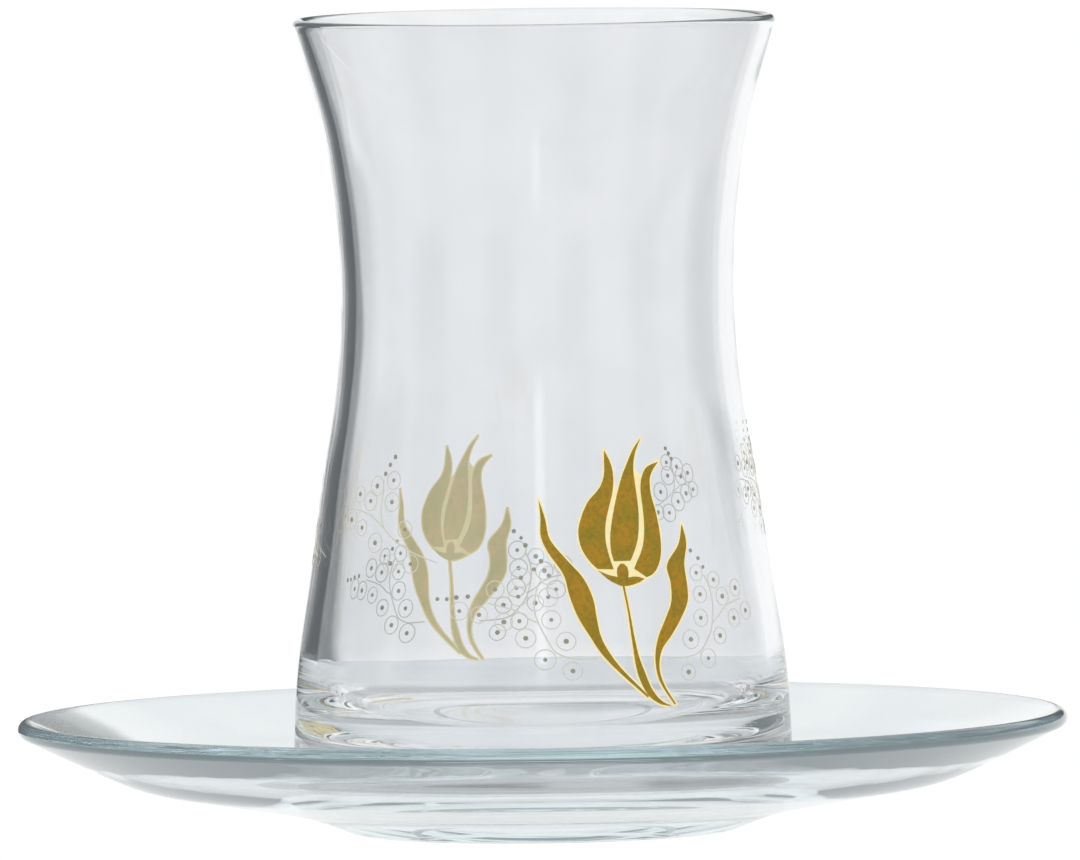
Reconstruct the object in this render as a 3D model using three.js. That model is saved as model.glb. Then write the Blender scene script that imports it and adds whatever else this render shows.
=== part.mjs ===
// A Turkish tea glass standing in its clear saucer: a waisted, handleless glass with a
// thick base, and a shallow round dish on a low foot. Both are solids of revolution.
// Millimetres, +Z up, origin in the middle of the saucer's foot, on the table.
import * as THREE from "three";

// The two outlines are turned round Z in this many steps.
const SEGMENTS = 60;
const STEPS_PER_SPAN = 2; // straight pieces between two stations of an outline
const STEPS_PER_ARC = 4; // straight pieces in a rounded edge

// Saucer. A station is [radius, height above the table].
const SAUCER_RADIUS = 59;
const SAUCER_HEIGHT = 13.1;
const SAUCER_LIP = 0.95; // radius of the half-round edge
const SAUCER_SLOPE = THREE.MathUtils.degToRad(25); // of the rim, where it meets the edge
const SAUCER_WALL = 2.4; // upright thickness of the rim and the dish
const SAUCER_UNDERSIDE = [
  [52, 8.2],
  [46, 5.6],
  [40, 4.4],
  [33, 3.2],
  [27, 2.0],
];
const WELL_RADIUS = 29.5; // the flat middle that the glass stands on
const WELL_HEIGHT = 4.8;
const FOOT_RADIUS = 21.5;
const FOOT_RECESS_RADIUS = 13.4; // the hollow under the saucer, inside its foot
const FOOT_RECESS_DEPTH = 1.0;
const FOOT_RECESS_DRAFT = 0.5; // how much the recess narrows towards its top

// Glass. A station is [outer radius, height above the underside of the glass].
const STANDING_GAP = 0.2; // between the well and the underside of the glass
const GLASS_HEIGHT = 86.6;
const RIM_WALL = 1.3;
const GLASS_FLANK = [
  [28.0, 5],
  [27.5, 13.5],
  [25.9, 24],
  [24.3, 35],
  [22.7, 45],
  [22.05, 55], // the waist
  [22.5, 65],
  [24.0, 75],
  [27.1, GLASS_HEIGHT - RIM_WALL / 2],
];
const BASE_WALL = 2.1; // where the wall meets the thick base
const BASE_THICKNESS = 5;
const CORNER_RADIUS = 8; // inside, where the wall rounds into the floor
const HEEL_RADIUS = 3.4; // outside, between the flank and the underside
const PUNT_RADIUS = 19; // the slight hollow under the glass
const PUNT_DEPTH = 0.8;

// Points of an arc in the section plane, from one angle to another, both ends included.
function arc(centreRadius, centreHeight, radius, from, to, steps = STEPS_PER_ARC) {
  return Array.from({ length: steps + 1 }, (_, i) => {
    const angle = from + ((to - from) * i) / steps;
    return new THREE.Vector2(
      centreRadius + radius * Math.cos(angle),
      centreHeight + radius * Math.sin(angle),
    );
  });
}

// A smooth outline through a list of [radius, height] stations.
function smooth(stations, steps = STEPS_PER_SPAN) {
  const curve = new THREE.SplineCurve(stations.map(([r, h]) => new THREE.Vector2(r, h)));
  return curve.getPoints(steps * (stations.length - 1));
}

// Turns an outline that starts and ends on the axis into a closed solid about Z.
function turned(outline, lift) {
  const geometry = new THREE.LatheGeometry(outline, SEGMENTS);
  geometry.rotateX(Math.PI / 2);
  geometry.translate(0, 0, lift);
  return geometry;
}

// The saucer's section, from the middle of its underside out to the edge and back
// over the dish to the middle of the well.
function saucerOutline() {
  const lipCentre = [SAUCER_RADIUS - SAUCER_LIP, SAUCER_HEIGHT - SAUCER_LIP];
  const lip = arc(
    ...lipCentre,
    SAUCER_LIP,
    SAUCER_SLOPE - Math.PI / 2,
    SAUCER_SLOPE + Math.PI / 2,
    STEPS_PER_ARC + 2,
  );
  const underside = smooth([
    [FOOT_RADIUS, 0],
    ...SAUCER_UNDERSIDE.toReversed(),
    [lip[0].x, lip[0].y],
  ]);
  const dish = smooth([
    [lip.at(-1).x, lip.at(-1).y],
    ...SAUCER_UNDERSIDE.slice(0, -1).map(([r, h]) => [r, h + SAUCER_WALL]),
    [WELL_RADIUS, WELL_HEIGHT],
  ]);
  return [
    new THREE.Vector2(0, FOOT_RECESS_DEPTH),
    new THREE.Vector2(FOOT_RECESS_RADIUS - FOOT_RECESS_DRAFT, FOOT_RECESS_DEPTH),
    new THREE.Vector2(FOOT_RECESS_RADIUS, 0),
    ...underside,
    ...lip.slice(1),
    ...dish.slice(1),
    new THREE.Vector2(0, WELL_HEIGHT),
  ];
}

// The wall thins evenly from the base to the rim.
function wallAt(height) {
  return THREE.MathUtils.mapLinear(height, BASE_THICKNESS, GLASS_HEIGHT, BASE_WALL, RIM_WALL);
}

// The glass's section, from the middle of its underside up the flank, over the rim
// and down the inner wall to the middle of the floor.
function glassOutline() {
  const puntSphere = (PUNT_RADIUS ** 2 + PUNT_DEPTH ** 2) / (2 * PUNT_DEPTH);
  const puntAngle = Math.asin(PUNT_RADIUS / puntSphere);
  const punt = arc(0, PUNT_DEPTH - puntSphere, puntSphere, Math.PI / 2, Math.PI / 2 - puntAngle);
  const [heelRadius] = GLASS_FLANK[0];
  const heel = arc(heelRadius - HEEL_RADIUS, HEEL_RADIUS, HEEL_RADIUS, -Math.PI / 2, 0);
  const flank = smooth(GLASS_FLANK);
  const rimEdge = flank.at(-1);
  const rim = arc(rimEdge.x - RIM_WALL / 2, rimEdge.y, RIM_WALL / 2, 0, Math.PI);
  // The corner is a quarter round and a little more, so that it meets the leaning wall
  // without an edge.
  const cornerHeight = BASE_THICKNESS + CORNER_RADIUS;
  const wall = flank
    .filter((point) => point.y > cornerHeight && point !== rimEdge)
    .map((point) => new THREE.Vector2(point.x - wallAt(point.y), point.y))
    .toReversed();
  const [above, foot] = wall.slice(-2);
  const lean = Math.atan2(foot.x - above.x, above.y - foot.y);
  const join = cornerHeight + CORNER_RADIUS * Math.sin(lean);
  const innerWall = wall.filter((point) => point.y > join);
  const joinRadius = THREE.MathUtils.mapLinear(join, foot.y, above.y, foot.x, above.x);
  const corner = arc(
    joinRadius - CORNER_RADIUS * Math.cos(lean),
    cornerHeight,
    CORNER_RADIUS,
    lean,
    -Math.PI / 2,
    STEPS_PER_ARC + 2,
  );
  return [
    ...punt,
    ...heel,
    ...flank,
    ...rim.slice(1),
    ...innerWall,
    ...corner,
    new THREE.Vector2(0, BASE_THICKNESS),
  ];
}

const saucer = new THREE.Mesh(
  turned(saucerOutline(), 0),
  new THREE.MeshStandardMaterial({
    color: 0xc6d6d6,
    roughness: 0.05,
    metalness: 0,
    transparent: true,
    opacity: 0.35,
  }),
);
saucer.name = "saucer";

const teaGlass = new THREE.Mesh(
  turned(glassOutline(), WELL_HEIGHT + STANDING_GAP),
  new THREE.MeshStandardMaterial({
    color: 0xe3e6ea,
    roughness: 0.03,
    metalness: 0,
    transparent: true,
    opacity: 0.3,
  }),
);
teaGlass.name = "tea_glass";

const teaSet = new THREE.Group();
teaSet.add(saucer, teaGlass);
export default teaSet;
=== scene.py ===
# %% [markdown]
# # A waisted tea glass on its clear saucer
# The object is two pressed pieces of clear glass: a small handleless tea glass with a narrow
# waist and a thick base, and a shallow round dish that it stands in. A gold tulip pattern with
# grey dotted sprigs is printed on the outside of the glass.
# The lesson makes both pieces of glass with Geometry Nodes as surfaces of revolution, draws the
# print as flat strips and wraps them onto the wall, and then lights everything against white.

# %% Load the frame
import math

import bpy
import numpy as np
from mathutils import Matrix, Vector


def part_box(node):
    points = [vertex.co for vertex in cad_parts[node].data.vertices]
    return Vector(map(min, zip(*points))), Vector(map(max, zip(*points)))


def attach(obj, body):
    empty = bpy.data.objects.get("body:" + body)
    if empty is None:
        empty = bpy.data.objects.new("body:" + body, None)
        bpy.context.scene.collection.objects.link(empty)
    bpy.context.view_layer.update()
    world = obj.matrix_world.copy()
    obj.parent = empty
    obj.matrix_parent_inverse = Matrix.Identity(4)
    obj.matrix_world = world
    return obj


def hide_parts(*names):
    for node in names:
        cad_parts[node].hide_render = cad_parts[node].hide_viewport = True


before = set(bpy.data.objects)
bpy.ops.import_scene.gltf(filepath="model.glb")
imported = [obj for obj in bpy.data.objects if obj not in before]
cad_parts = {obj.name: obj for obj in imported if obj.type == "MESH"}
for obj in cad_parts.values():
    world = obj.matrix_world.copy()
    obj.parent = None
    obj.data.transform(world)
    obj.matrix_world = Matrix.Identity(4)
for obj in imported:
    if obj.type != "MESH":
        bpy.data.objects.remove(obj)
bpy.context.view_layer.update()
MM = 0.001
saucer_low, saucer_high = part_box("saucer")
glass_low, glass_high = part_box("tea_glass")
print("pieces in the frame:", sorted(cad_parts))

# %% [markdown]
# ## The camera
# The picture was taken from far away with a long lens, only a little above the rim of the
# saucer. The ellipses of the two rims say how high: the rim of the glass is seen two degrees
# from above and the rim of the saucer nearly four. So the camera stands 2.6 m in front and
# 182 mm above the table, and a very long lens fills the frame. It leans by less than a degree,
# because the glass leans in the picture.

# %% Camera
FRAME_WIDTH_PX = 1080
PX_PER_MM = 8.9  # scale of the picture at the axis of the glass
CAMERA_DISTANCE = 2600 * MM
CAMERA_HEIGHT = 182.4 * MM
AIM = (0.11 * MM, 0.0, 45.07 * MM)  # the point of the object in the middle of the frame
CAMERA_LEAN = math.radians(-0.75)
SENSOR = 36.0


def make_camera():
    data = bpy.data.cameras.new("camera")
    camera = bpy.data.objects.new("camera", data)
    bpy.context.scene.collection.objects.link(camera)
    drop = CAMERA_HEIGHT - AIM[2]
    reach = math.hypot(CAMERA_DISTANCE, drop)
    data.sensor_width = SENSOR
    data.lens = SENSOR * PX_PER_MM * reach / MM / FRAME_WIDTH_PX
    data.clip_start = 0.1
    data.clip_end = 20.0
    camera.location = (AIM[0], -CAMERA_DISTANCE, CAMERA_HEIGHT)
    camera.rotation_mode = "XYZ"
    pitch = math.pi / 2 - math.atan2(drop, CAMERA_DISTANCE)
    camera.rotation_euler = (pitch, 0.0, 0.0)
    camera.rotation_euler.rotate_axis("Z", CAMERA_LEAN)
    bpy.context.scene.camera = camera
    print("lens in mm:", round(data.lens, 1))


make_camera()

# %% [markdown]
# ## Writing node maths as Python
# Shader and geometry trees are easier to read as expressions. A Wire holds one socket of a tree.
# Adding or multiplying two wires places a Math node and gives back the wire of its result, and
# the node method places any other node: first its settings, then the values of its sockets.
# Colours and vectors don't survive a Math node, so they go through Mix and Vector Math.

# %% A socket with operators
class Wire:
    def __init__(self, tree, socket=None):
        self.tree = tree
        self.socket = socket

    def feed(self, socket, value):
        if isinstance(value, Wire):
            self.tree.links.new(value.socket, socket)
        else:
            socket.default_value = value

    def node(self, kind, settings=None, inputs=None, output=0):
        made = self.tree.nodes.new(kind)
        for name, value in (settings or {}).items():
            setattr(made, name, value)
        for name, value in (inputs or {}).items():
            self.feed(made.inputs[name], value)
        return Wire(self.tree, made.outputs[output])

    def calculate(self, operation, *values):
        inputs = dict(enumerate(values))
        return self.node("ShaderNodeMath", {"operation": operation}, inputs)

    def maths(self, operation, *others):
        return self.calculate(operation, self, *others)

    def __add__(self, other):
        return self.maths("ADD", other)

    def __radd__(self, other):
        return self.calculate("ADD", other, self)

    def __sub__(self, other):
        return self.maths("SUBTRACT", other)

    def __rsub__(self, other):
        return self.calculate("SUBTRACT", other, self)

    def __mul__(self, other):
        return self.maths("MULTIPLY", other)

    def __rmul__(self, other):
        return self.calculate("MULTIPLY", other, self)

    def __truediv__(self, other):
        return self.maths("DIVIDE", other)

    def __rtruediv__(self, other):
        return self.calculate("DIVIDE", other, self)

    def smooth_step(self, start, end):
        """0 below start, 1 above end, with a soft change between."""
        settings = {"interpolation_type": "SMOOTHSTEP"}
        inputs = {"Value": self, "From Min": start, "From Max": end}
        return self.node("ShaderNodeMapRange", settings, inputs)

    def scaled(self, factor):
        """A vector made longer or shorter."""
        inputs = {0: self, "Scale": factor}
        return self.node("ShaderNodeVectorMath", {"operation": "SCALE"}, inputs)

    def parts(self):
        """The X, Y and Z of a vector."""
        split = self.node("ShaderNodeSeparateXYZ", None, {0: self}).socket.node
        return [Wire(self.tree, out) for out in split.outputs]

    def mix_colours(self, first, second):
        """first where this wire is 0, second where it is 1; 6, 7 and 2 are the colour sockets."""
        inputs = {0: self, 6: first, 7: second}
        return self.node("ShaderNodeMix", {"data_type": "RGBA"}, inputs, 2)


print("a Wire knows", sum(name.startswith("__r") for name in vars(Wire)), "reflected operators")

# %% [markdown]
# ## Outlines
# Everything turned has an outline: the section from the axis out and back again. Its gentle
# stretches are a smooth curve through a few stations, and its edges are arcs. The stations are
# the sizes of the real pieces in millimetres, and they are the same as in the solid model, only
# with finer steps, so that the surface reads as glass and not as facets.

# %% Arcs and smooth curves
STEPS_PER_SPAN = 10
STEPS_PER_ARC = 14


def arc(centre, radius, start, end, steps=STEPS_PER_ARC):
    angles = np.linspace(start, end, steps + 1)
    return np.column_stack(
        (centre[0] + radius * np.cos(angles), centre[1] + radius * np.sin(angles))
    )


def smooth(stations, steps=STEPS_PER_SPAN):
    """A curve through all the stations, with steps points to each span."""
    points = np.array(stations, dtype=float)
    padded = np.vstack((points[:1], points, points[-1:]))
    t = np.linspace(0.0, 1.0, steps, endpoint=False)[:, None]
    spans = []
    for before, start, end, after in zip(padded, padded[1:], padded[2:], padded[3:]):
        leave = (end - before) / 2
        arrive = (after - start) / 2
        cubic = 2 * start - 2 * end + leave + arrive
        square = -3 * start + 3 * end - 2 * leave - arrive
        spans.append(cubic * t**3 + square * t**2 + leave * t + start)
    return np.vstack((*spans, points[-1:]))


print("a quarter arc has", len(arc((0, 0), 1, 0, math.pi / 2)), "points")

# %% [markdown]
# ## The section of the saucer
# A low foot with a shallow recess under it, a rim that rises ever more steeply to a half-round
# edge, and a flat well in the middle. On the pressed original no edge is sharp, so the foot and
# the recess get small rounded corners here, which the faceted solid does without.

# %% Saucer outline
SAUCER_RADIUS = 59.0
SAUCER_HEIGHT = 13.1
SAUCER_LIP = 0.95
SAUCER_SLOPE = math.radians(25)
SAUCER_WALL = 2.4
SAUCER_UNDERSIDE = [(52, 8.2), (46, 5.6), (40, 4.4), (33, 3.2), (27, 2.0)]
WELL_RADIUS = 29.5
WELL_HEIGHT = 4.8
FOOT_RADIUS = 21.5
FOOT_RECESS_RADIUS = 13.4
FOOT_RECESS_DEPTH = 1.0
FOOT_RECESS_DRAFT = 0.5
FOOT_EDGE = 0.35  # rounding of the foot's corners
LIP_STEPS = 20
UNDERSIDE_LEAD = 4  # the point of the underside that gives its direction where it leaves the foot


def rounded(before, corner, after, radius, steps=6):
    """Points that cut a corner off with an arc-like curve, tangent to both sides."""
    before, corner, after = (np.array(p, dtype=float) for p in (before, corner, after))
    start = corner + radius * (before - corner) / np.linalg.norm(before - corner)
    end = corner + radius * (after - corner) / np.linalg.norm(after - corner)
    t = np.linspace(0.0, 1.0, steps + 1)[:, None]
    return (1 - t) ** 2 * start + 2 * t * (1 - t) * corner + t**2 * end


def saucer_outline():
    lip_centre = (SAUCER_RADIUS - SAUCER_LIP, SAUCER_HEIGHT - SAUCER_LIP)
    quarter = math.pi / 2
    lip = arc(lip_centre, SAUCER_LIP, SAUCER_SLOPE - quarter, SAUCER_SLOPE + quarter, LIP_STEPS)
    underside = smooth([(FOOT_RADIUS, 0), *SAUCER_UNDERSIDE[::-1], lip[0]])
    dish_stations = [(r, h + SAUCER_WALL) for r, h in SAUCER_UNDERSIDE[:-1]]
    dish = smooth([lip[-1], *dish_stations, (WELL_RADIUS, WELL_HEIGHT)])
    recess_top = (FOOT_RECESS_RADIUS - FOOT_RECESS_DRAFT, FOOT_RECESS_DEPTH)
    recess_edge = (FOOT_RECESS_RADIUS, 0)
    foot_edge = (FOOT_RADIUS, 0)
    return np.vstack((
        [(0, FOOT_RECESS_DEPTH)],
        rounded((0, FOOT_RECESS_DEPTH), recess_top, recess_edge, FOOT_EDGE),
        rounded(recess_top, recess_edge, foot_edge, FOOT_EDGE),
        rounded(recess_edge, foot_edge, underside[UNDERSIDE_LEAD], FOOT_EDGE),
        underside[1:],
        lip[1:],
        dish[1:],
        [(0, WELL_HEIGHT)],
    ))


print("saucer outline:", len(saucer_outline()), "points,", 2 * SAUCER_RADIUS, "mm across")
print("saucer in the frame:", round((saucer_high[0] - saucer_low[0]) / MM, 1), "mm across")

# %% [markdown]
# ## The section of the glass
# The flank is one smooth curve: widest at the heel, narrowest at the waist above the middle,
# and open again at the lip. The wall thins from 2.1 mm at the base to 1.3 mm at the rim. The
# base is a thick slab with a slightly hollow underside, and inside the wall runs into it over a
# round corner, which starts at the wall's own lean so that no crease shows.

# %% Glass outline
STANDING_GAP = 0.2
GLASS_HEIGHT = 86.6
RIM_WALL = 1.3
GLASS_FLANK = [
    (28.0, 5),
    (27.5, 13.5),
    (25.9, 24),
    (24.3, 35),
    (22.7, 45),
    (22.05, 55),
    (22.5, 65),
    (24.0, 75),
    (27.1, GLASS_HEIGHT - RIM_WALL / 2),
]
BASE_WALL = 2.1
BASE_THICKNESS = 5.0
CORNER_RADIUS = 8.0
CORNER_STEPS = 24
HEEL_RADIUS = 3.4
PUNT_RADIUS = 19.0
PUNT_DEPTH = 0.8
GLASS_FOOT = WELL_HEIGHT + STANDING_GAP  # height of the underside of the glass


def glass_outline():
    sphere = (PUNT_RADIUS**2 + PUNT_DEPTH**2) / (2 * PUNT_DEPTH)
    half = math.asin(PUNT_RADIUS / sphere)
    quarter = math.pi / 2
    punt = arc((0, PUNT_DEPTH - sphere), sphere, quarter, quarter - half)
    heel_centre = (GLASS_FLANK[0][0] - HEEL_RADIUS, HEEL_RADIUS)
    heel = arc(heel_centre, HEEL_RADIUS, -quarter, 0)
    flank = smooth(GLASS_FLANK)
    rim_edge = flank[-1]
    rim = arc((rim_edge[0] - RIM_WALL / 2, rim_edge[1]), RIM_WALL / 2, 0, math.pi)
    corner_top = BASE_THICKNESS + CORNER_RADIUS
    inner = flank[(flank[:, 1] > corner_top) & (flank[:, 1] < rim_edge[1])].copy()
    inner[:, 0] -= np.interp(inner[:, 1], (BASE_THICKNESS, GLASS_HEIGHT), (BASE_WALL, RIM_WALL))
    inner = inner[::-1]
    lean = math.atan2(inner[-1][0] - inner[-2][0], inner[-2][1] - inner[-1][1])
    inner = inner[inner[:, 1] > corner_top + CORNER_RADIUS * math.sin(lean)]
    corner_middle = inner[-1][0] - CORNER_RADIUS * math.cos(lean)
    corner = arc((corner_middle, corner_top), CORNER_RADIUS, lean, -quarter, CORNER_STEPS)
    outline = np.vstack((punt, heel, flank, rim[1:], inner, corner, [(0, BASE_THICKNESS)]))
    outline[:, 1] += GLASS_FOOT
    return outline


print("glass outline:", len(glass_outline()), "points,", GLASS_HEIGHT, "mm high")
print("glass in the frame:", round((glass_high[2] - glass_low[2]) / MM, 1), "mm high")

# %% [markdown] ## Geometry Nodes: a small kit A tree is a recipe with named inputs.

# %% Tree kit
def new_tree(name, inputs):
    """A geometry tree with a Geometry input and output and the named inputs."""
    tree = bpy.data.node_groups.new(name, "GeometryNodeTree")
    tree.interface.new_socket("Geometry", in_out="INPUT", socket_type="NodeSocketGeometry")
    for title, kind in inputs.items():
        tree.interface.new_socket(title, in_out="INPUT", socket_type=kind)
    tree.interface.new_socket("Geometry", in_out="OUTPUT", socket_type="NodeSocketGeometry")
    entry = tree.nodes.new("NodeGroupInput")
    wires = {out.name: Wire(tree, out) for out in entry.outputs if out.name}
    return tree, wires


def end_tree(tree, geometry):
    leave = tree.nodes.new("NodeGroupOutput")
    tree.links.new(geometry.socket, leave.inputs["Geometry"])


def finish_mesh(geometry, material):
    """The last three steps of every tree."""
    real = geometry.node("GeometryNodeRealizeInstances", None, {"Geometry": geometry})
    painted = {"Geometry": real, "Material": material}
    return geometry.node("GeometryNodeSetMaterial", None, painted)


def mesh_of(name, vertices, edges=(), faces=()):
    mesh = bpy.data.meshes.new(name)
    mesh.from_pydata([tuple(map(float, v)) for v in vertices], edges, faces)
    mesh.validate()
    return mesh


def grow(name, tree, start, values):
    """Runs a tree on the mesh start and returns a plain object."""
    piece = bpy.data.objects.new(name, start)
    bpy.context.scene.collection.objects.link(piece)
    modifier = piece.modifiers.new("recipe", "NODES")
    modifier.node_group = tree
    for item in tree.interface.items_tree:
        if item.in_out == "INPUT" and item.name in values:
            modifier[item.identifier] = values[item.name]
    piece.update_tag()
    evaluated = piece.evaluated_get(bpy.context.evaluated_depsgraph_get())
    made = bpy.data.meshes.new_from_object(evaluated)
    piece.modifiers.remove(modifier)
    piece.data = made
    made.name = name
    print(name, "has", len(made.polygons), "faces")
    return piece


# %% [markdown]
# ## Turning an outline
# A lathe is a rule: point number i of the outline goes to every step j round the axis. The tree
# takes the outline as a row of points, makes a grid with one column for each, and moves the
# grid's points to where the rule puts them. Merging by distance closes the seam and the poles.
# Pressed glass is never quite even, so the surface then moves in and out by some hundredths of
# a millimetre, in soft patches that bend what is seen through it.

# %% Lathe tree
WELD_DISTANCE = 0.002 * MM
LATHE_STEPS = 256


def lathe_tree():
    tree, given = new_tree("turn_on_axis", {
        "Steps": "NodeSocketInt",
        "Unevenness": "NodeSocketFloat",
        "Patch Size": "NodeSocketFloat",
        "Seed": "NodeSocketFloat",
        "Material": "NodeSocketMaterial",
    })
    outline = given["Geometry"]
    count = outline.node(
        "GeometryNodeAttributeDomainSize", {"component": "MESH"}, {"Geometry": outline}
    )
    rows = given["Steps"] + 1
    grid = outline.node("GeometryNodeMeshGrid", None, {"Vertices X": count, "Vertices Y": rows})
    index = outline.node("GeometryNodeInputIndex")
    column = (index / rows).maths("FLOOR")
    step = index - column * rows
    turn = step * (2 * math.pi) / given["Steps"]
    place = outline.node("GeometryNodeInputPosition")
    station = outline.node(
        "GeometryNodeSampleIndex",
        {"data_type": "FLOAT_VECTOR", "domain": "POINT"},
        {"Geometry": outline, "Value": place, "Index": column},
    )
    radius, _, height = station.parts()
    turned = outline.node(
        "ShaderNodeCombineXYZ",
        None,
        {"X": radius * turn.maths("COSINE"), "Y": radius * turn.maths("SINE"), "Z": height},
    )
    shaped = outline.node("GeometryNodeSetPosition", None, {"Geometry": grid, "Position": turned})
    seam = {"Geometry": shaped, "Distance": WELD_DISTANCE}
    closed = outline.node("GeometryNodeMergeByDistance", None, seam)
    noise = outline.node(
        "ShaderNodeTexNoise",
        {"noise_dimensions": "4D"},
        {"W": given["Seed"], "Scale": 1 / given["Patch Size"], "Detail": 1.0},
    )
    lift = (noise - 0.5) * given["Unevenness"]
    normal = outline.node("GeometryNodeInputNormal")
    offset = normal.scaled(lift)
    uneven = outline.node("GeometryNodeSetPosition", None, {"Geometry": closed, "Offset": offset})
    outward = outline.node("GeometryNodeFlipFaces", None, {"Mesh": uneven})
    soft = outline.node("GeometryNodeSetShadeSmooth", None, {"Geometry": outward})
    end_tree(tree, finish_mesh(soft, given["Material"]))
    return tree


TURNING = lathe_tree()
print("the lathe tree has", len(TURNING.nodes), "nodes")


def turned_piece(name, outline, material, unevenness, patch_size, seed):
    points = [(r * MM, 0.0, h * MM) for r, h in outline]
    row = mesh_of(name + "_outline", points, [(i, i + 1) for i in range(len(points) - 1)])
    return grow(name, TURNING, row, {
        "Steps": LATHE_STEPS,
        "Unevenness": unevenness * MM,
        "Patch Size": patch_size * MM,
        "Seed": seed,
        "Material": material,
    })


# %% [markdown]
# ## A small material kit
# Every finish starts from an empty material and ends at its output. Its patterns are noise on
# Object coordinates, so they keep their place and their true size on each piece. A bump only
# turns the light that meets the surface, and leaves the shape as it is.

# %% Material kit
def new_material(name):
    material = bpy.data.materials.new(name)
    material.use_nodes = True
    tree = material.node_tree
    tree.nodes.clear()
    return material, Wire(tree)


def coordinates(desk):
    return desk.node("ShaderNodeTexCoord", None, None, "Object")


def noise_at(desk, place, size, detail=2.0):
    """Noise whose patches are about size metres wide."""
    inputs = {"Vector": place, "Scale": 1 / size, "Detail": detail}
    return desk.node("ShaderNodeTexNoise", None, inputs)


def bumps(desk, pattern, height, strength):
    inputs = {"Strength": strength, "Distance": height, "Height": pattern}
    return desk.node("ShaderNodeBump", None, inputs)


def output_surface(desk, shader, volume=None):
    leave = desk.tree.nodes.new("ShaderNodeOutputMaterial")
    desk.feed(leave.inputs["Surface"], shader)
    if volume:
        desk.feed(leave.inputs["Volume"], volume)


print("noise with patches 1 mm wide has a scale of", round(1 / MM))

# %% [markdown]
# ## Clear glass
# Clear glass is a dielectric: nearly everything that is seen of it is bent or mirrored
# surroundings. A faint cool tint in soft patches and a trace of dust keep it from looking like
# empty air, and a very low bump stands for the ripples that the press leaves. The saucer also
# takes some light away inside, which the picture shows green-blue along its edge, where the
# light travels far through it. The thick base of the glass gets painted light and painted shade
# in its colour: a nearly colourless middle and a grey heel, for the tones that the picture shows
# there. Some rays never find their way out of the glass and would turn black, so both finishes
# glow by a percent or two.

# %% Glass finishes
GLASS_BEND = 1.5  # index of refraction
TINT_PATCH = 14 * MM
DUST_GRAIN = 0.6 * MM
SMEAR_PATCH = 22 * MM  # the dust lies in patches of this size
RIPPLE_PATCH = 7 * MM
RIPPLE_HEIGHT, RIPPLE_STRENGTH = 0.05 * MM, 0.25
DUST_ROUGHNESS = 0.12
# Between which values of its noise each pattern sets in.
TINT_RANGE, DUST_RANGE, SMEAR_RANGE = (0.35, 0.7), (0.72, 0.78), (0.5, 0.65)
GLOW_COLOUR = (0.80, 0.95, 1.0, 1)
# The thick base of the glass: radii and heights between which its painted light in the middle and
# its painted shade at the heel fade out.
PAINTED_BASE_EDGE = (25.4 * MM, 26.4 * MM)
PAINTED_LIGHT_TOP = (17 * MM, 20 * MM)
PAINTED_SHADE_TOP = (8 * MM, 12 * MM)


def base_painted_light_and_shade(place, tint, middle_painted_light, heel_painted_shade):
    """The tint, with painted light and shade: paler in the middle of the thick base, darker round
    its heel.
    """
    x, y, z = place.parts()
    outside = (x * x + y * y).maths("SQRT").smooth_step(*PAINTED_BASE_EDGE)
    middle = (1 - outside) * (1 - z.smooth_step(*PAINTED_LIGHT_TOP))
    heel = outside * (1 - z.smooth_step(*PAINTED_SHADE_TOP))
    return heel.mix_colours(middle.mix_colours(tint, middle_painted_light), heel_painted_shade)


def glass_finish(name, pale, deep, glow, base=None, absorption=None, density=0.0):
    """base is a pair of colours that paint light and shade into the thick base, absorption the
    colour left in thick glass.
    """
    material, desk = new_material(name)
    material.cycles.emission_sampling = "NONE"
    place = coordinates(desk)
    cloud = noise_at(desk, place, TINT_PATCH)
    dust = noise_at(desk, place, DUST_GRAIN, detail=4.0)
    smear = noise_at(desk, place, SMEAR_PATCH, detail=3.0)
    ripple = noise_at(desk, place, RIPPLE_PATCH, detail=1.0)
    tint = cloud.smooth_step(*TINT_RANGE).mix_colours(deep, pale)
    # base paints light into the middle of the thick base and shade round its heel.
    if base:
        tint = base_painted_light_and_shade(place, tint, *base)
    specks = dust.smooth_step(*DUST_RANGE) * smear.smooth_step(*SMEAR_RANGE)
    bump = bumps(desk, ripple, RIPPLE_HEIGHT, RIPPLE_STRENGTH)
    shader = desk.node("ShaderNodeBsdfPrincipled", None, {
        "Base Color": tint,
        "Roughness": specks * DUST_ROUGHNESS,
        "IOR": GLASS_BEND,
        "Transmission Weight": 1.0,
        "Emission Color": GLOW_COLOUR,
        "Emission Strength": glow,
        "Normal": bump,
    })
    volume = None
    if absorption:
        inside = {"Color": absorption, "Density": density}
        volume = desk.node("ShaderNodeVolumeAbsorption", None, inside)
    output_surface(desk, shader, volume)
    return material


clear_glass = glass_finish(
    "clear_glass", (0.865, 0.87, 0.88, 1), (0.83, 0.84, 0.855, 1), glow=0.012,
    # Painted light for the middle of the thick base and painted shade for its grey heel.
    base=((0.98, 0.965, 0.97, 1), (0.40, 0.40, 0.41, 1)),
)
saucer_glass = glass_finish(
    "saucer_glass", (0.81, 0.84, 0.85, 1), (0.76, 0.805, 0.82, 1), glow=0.018,
    absorption=(0.25, 0.62, 0.68, 1), density=5.0,
)
for finish in (clear_glass, saucer_glass):
    print(finish.name, "is made of", len(finish.node_tree.nodes), "nodes")

# %% [markdown]
# ## The two pieces of glass
# Each outline is turned in 256 steps. Both pieces keep the places of the solids they stand for.
# The volume inside the finished mesh, a sum over its triangles, tells whether it is closed and
# the right way out: it has to come out positive and close to that of the solid.

# %% Saucer and glass
saucer = turned_piece(
    "saucer_body", saucer_outline(), saucer_glass, unevenness=0.05, patch_size=16.0, seed=3.0
)
glass = turned_piece(
    "glass_body", glass_outline(), clear_glass, unevenness=0.03, patch_size=14.0, seed=8.0
)


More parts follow.
